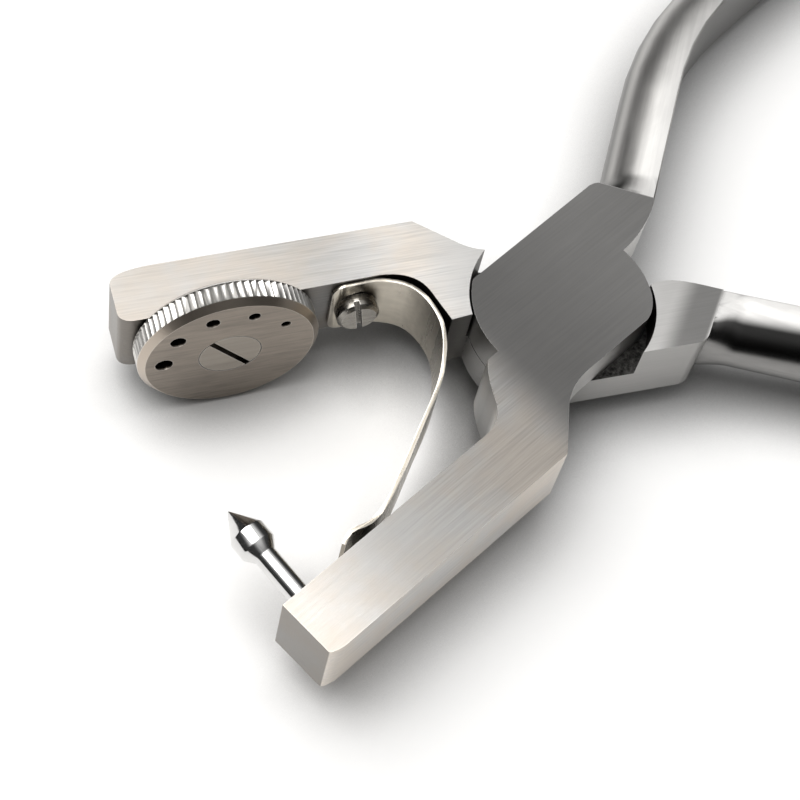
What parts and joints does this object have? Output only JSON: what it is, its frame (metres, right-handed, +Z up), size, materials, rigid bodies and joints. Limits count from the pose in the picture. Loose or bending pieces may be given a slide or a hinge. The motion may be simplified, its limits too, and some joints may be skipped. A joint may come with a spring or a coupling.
{
  "type": "revolving-wheel hole punch pliers",
  "caption": "Stainless steel punch pliers: a knurled turning wheel of graded die holes on one jaw, a cone-pointed punch pin on the other, held open by a leaf spring.",
  "frame": {"origin": "on the axis of the pivot rivet, at the underside of the joint", "axes": "+X along the bisector of the two arms from the jaws to the handles, +Y towards the wheel jaw, +Z up along the pivot rivet's axis"},
  "size_m": [0.1582, 0.0757, 0.0183],
  "materials": {
    "brushed_arm": "satin",
    "wheel_steel": "satin",
    "polished_pin": "polished",
    "screw_steel": "satin",
    "spring_steel": "satin",
    "hidden_steel": "matte"
  },
  "bodies": {
    "wheel_arm": {"wheel_arm": "brushed_arm", "wheel_screw": "screw_steel", "leaf_spring_screw": "screw_steel", "detent_spring": "hidden_steel"},
    "punch_arm": {"punch_arm": "brushed_arm", "punch_pin": "polished_pin", "pivot_rivet": "brushed_arm"},
    "hole_wheel": {"hole_wheel": "wheel_steel"},
    "detent_ball": {"detent_ball": "hidden_steel"},
    "leaf_spring": {"leaf_spring": "spring_steel"}
  },
  "joints": [
    {"name": "jaw_pivot", "type": "hinge", "parent": "wheel_arm", "child": "punch_arm", "pos_m": [0, 0, 0.00415], "axis": [0, 0, -1], "range_deg": [-6, 24.1]},
    {"name": "wheel_turn", "type": "hinge", "parent": "wheel_arm", "child": "hole_wheel", "pos_m": [-0.03143, 0.01109, 0.00415], "axis": [-0.248, -0.9688, 0], "continuous": true},
    {"name": "detent_slide", "type": "slide", "parent": "wheel_arm", "child": "detent_ball", "axis": [-0.248, -0.9688, 0], "range_m": [-0.0004, 0], "deforming": ["detent_spring"]},
    {"name": "leaf_flex", "type": "hinge", "parent": "wheel_arm", "child": "leaf_spring", "pos_m": [-0.014, 0.003, 0.00415], "axis": [0, 0, -1], "range_deg": [-10.3, 40.8], "deforming": ["leaf_spring"]}
  ],
  "couplings": [
    {"joint": "leaf_flex", "follows": "jaw_pivot", "ratio": 1.686}
  ]
}
